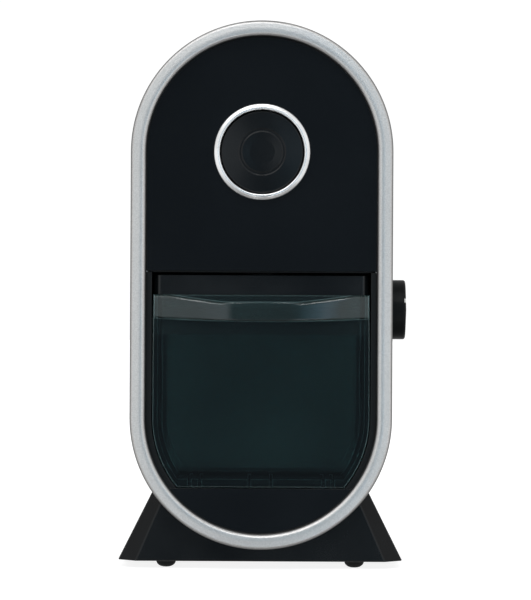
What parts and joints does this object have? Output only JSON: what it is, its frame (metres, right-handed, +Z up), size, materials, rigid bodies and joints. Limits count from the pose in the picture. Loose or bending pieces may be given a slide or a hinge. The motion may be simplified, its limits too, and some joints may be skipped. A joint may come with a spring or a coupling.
{
  "type": "coffee grinder",
  "caption": "Upright electric burr coffee grinder with an oval silver front ring, round start button, sliding smoke-tinted grounds container and side knob on a sloped stand.",
  "frame": {"origin": "middle of the footprint on the surface it stands on", "axes": "+Z up, +X to the object's right seen from the front, the front faces -Y"},
  "size_m": [0.1395, 0.16, 0.262],
  "materials": {
    "ring_silver": "fine satin silver paint",
    "panel_gloss": "gloss black",
    "housing_black": "semi-gloss black",
    "bay_black": "satin black",
    "stand_black": "satin black",
    "base_plate_grey": "fine-grained dark grey",
    "foot_rubber": "matt black",
    "screw_steel": "zinc-plated",
    "bezel_bright": "satin chrome",
    "button_black": "gloss black",
    "switch_blue": "moulded blue",
    "plunger_white": "moulded white",
    "board_green": "solder-masked laminate",
    "knob_black": "satin black",
    "pointer_white": "white fill",
    "shaft_steel": "ground steel",
    "selector_grey": "moulded grey",
    "tub_smoke": "smoke-tinted clear plastic",
    "lid_black": "semi-gloss black",
    "seal_silicone": "matt grey silicone",
    "hopper_smoke": "smoke-tinted clear plastic",
    "adjuster_orange": "moulded orange",
    "carrier_alloy": "die-cast",
    "burr_steel": "hardened, ground faces",
    "chamber_grey": "glass-filled grey",
    "bush_bronze": "sintered bronze",
    "gear_acetal": "natural acetal",
    "gearbox_grey": "glass-filled grey",
    "pinion_brass": "cut brass",
    "armature_iron": "laminated iron",
    "winding_copper": "enamelled copper wire",
    "commutator_copper": "worn copper",
    "can_steel": "zinc-plated steel",
    "end_cap_cream": "moulded cream",
    "magnet_ferrite": "sintered ferrite",
    "brush_carbon": "pressed carbon",
    "gland_black": "matt black"
  },
  "bodies": {
    "root": {"front_ring": "ring_silver", "upper_front_panel": "panel_gloss", "lower_front_panel": "panel_gloss", "main_housing": "housing_black", "rear_cover": "housing_black", "container_bay": "bay_black", "base_stand": "stand_black", "base_plate": "base_plate_grey", "rubber_feet": "foot_rubber", "rear_cover_screws": "screw_steel", "base_screws": "screw_steel", "board_screws": "screw_steel", "motor_screws": "screw_steel", "selector_nut": "screw_steel", "button_bezel": "bezel_bright", "power_switch": "switch_blue", "control_board": "board_green", "compound_gear_pin": "shaft_steel", "selector_switch": "selector_grey", "chamber_seal": "seal_silicone", "hopper": "hopper_smoke", "grinding_chamber": "chamber_grey", "grounds_chute": "chamber_grey", "shaft_bushes": "bush_bronze", "motor_bushes": "bush_bronze", "gear_plate": "gearbox_grey", "gear_cover": "gearbox_grey", "motor_can": "can_steel", "motor_mount": "can_steel", "motor_end_cap": "end_cap_cream", "cord_clamp": "end_cap_cream", "motor_magnets": "magnet_ferrite", "motor_brushes": "brush_carbon", "cord_gland": "gland_black"},
    "power_button": {"power_button": "button_black", "switch_plunger": "plunger_white"},
    "selector": {"selector_knob": "knob_black", "knob_pointer": "pointer_white", "selector_shaft": "shaft_steel"},
    "container": {"grounds_container": "tub_smoke", "container_lid": "lid_black", "container_gasket": "seal_silicone"},
    "hopper_lid": {"hopper_lid": "hopper_smoke"},
    "adjuster": {"adjuster_ring": "adjuster_orange"},
    "upper_burr": {"upper_burr_carrier": "carrier_alloy", "upper_burr": "burr_steel", "upper_burr_screws": "screw_steel"},
    "burr_drive": {"drive_shaft": "shaft_steel", "drive_gear": "gear_acetal", "lower_burr_carrier": "carrier_alloy", "lower_burr": "burr_steel", "lower_burr_screws": "screw_steel", "shaft_nut": "screw_steel"},
    "compound": {"compound_gear": "gear_acetal"},
    "motor_rotor": {"motor_shaft": "shaft_steel", "motor_pinion": "pinion_brass", "motor_armature": "armature_iron", "motor_windings": "winding_copper", "motor_commutator": "commutator_copper"}
  },
  "joints": [
    {"name": "start_button_press", "type": "slide", "parent": "root", "child": "power_button", "axis": [0, 1, 0], "range_m": [0, 0.0025], "stiffness_N_per_m": 900, "springref_m": -0.002},
    {"name": "selector_turn", "type": "hinge", "parent": "root", "child": "selector", "pos_m": [0.066, -0.03, 0.1245], "axis": [1, 0, 0], "range_deg": [-135, 135]},
    {"name": "container_slide", "type": "slide", "parent": "root", "child": "container", "axis": [0, -1, 0], "range_m": [0, 0.095]},
    {"name": "hopper_lid_lift", "type": "slide", "parent": "root", "child": "hopper_lid", "axis": [0, 0, 1], "range_m": [0, 0.04]},
    {"name": "grind_adjust", "type": "hinge", "parent": "root", "child": "adjuster", "pos_m": [0, 0.008, 0.1925], "axis": [0, 0, 1], "range_deg": [-72, 165]},
    {"name": "upper_burr_feed", "type": "slide", "parent": "root", "child": "upper_burr", "axis": [0, 0, 1], "range_m": [-0.00045, 0.00104]},
    {"name": "burr_spin", "type": "hinge", "parent": "root", "child": "burr_drive", "pos_m": [0, 0.008, 0.16], "axis": [0, 0, 1], "continuous": true},
    {"name": "compound_spin", "type": "hinge", "parent": "root", "child": "compound", "pos_m": [0.02411, 0.02585, 0.15], "axis": [0, 0, 1], "continuous": true},
    {"name": "motor_spin", "type": "hinge", "parent": "root", "child": "motor_rotor", "pos_m": [0, 0.038, 0.1], "axis": [0, 0, 1], "continuous": true}
  ],
  "couplings": [
    {"joint": "grind_adjust", "follows": "upper_burr_feed", "rad_per_m": 2777.8},
    {"joint": "compound_spin", "follows": "burr_spin", "ratio": -4},
    {"joint": "motor_spin", "follows": "burr_spin", "ratio": 14}
  ]
}
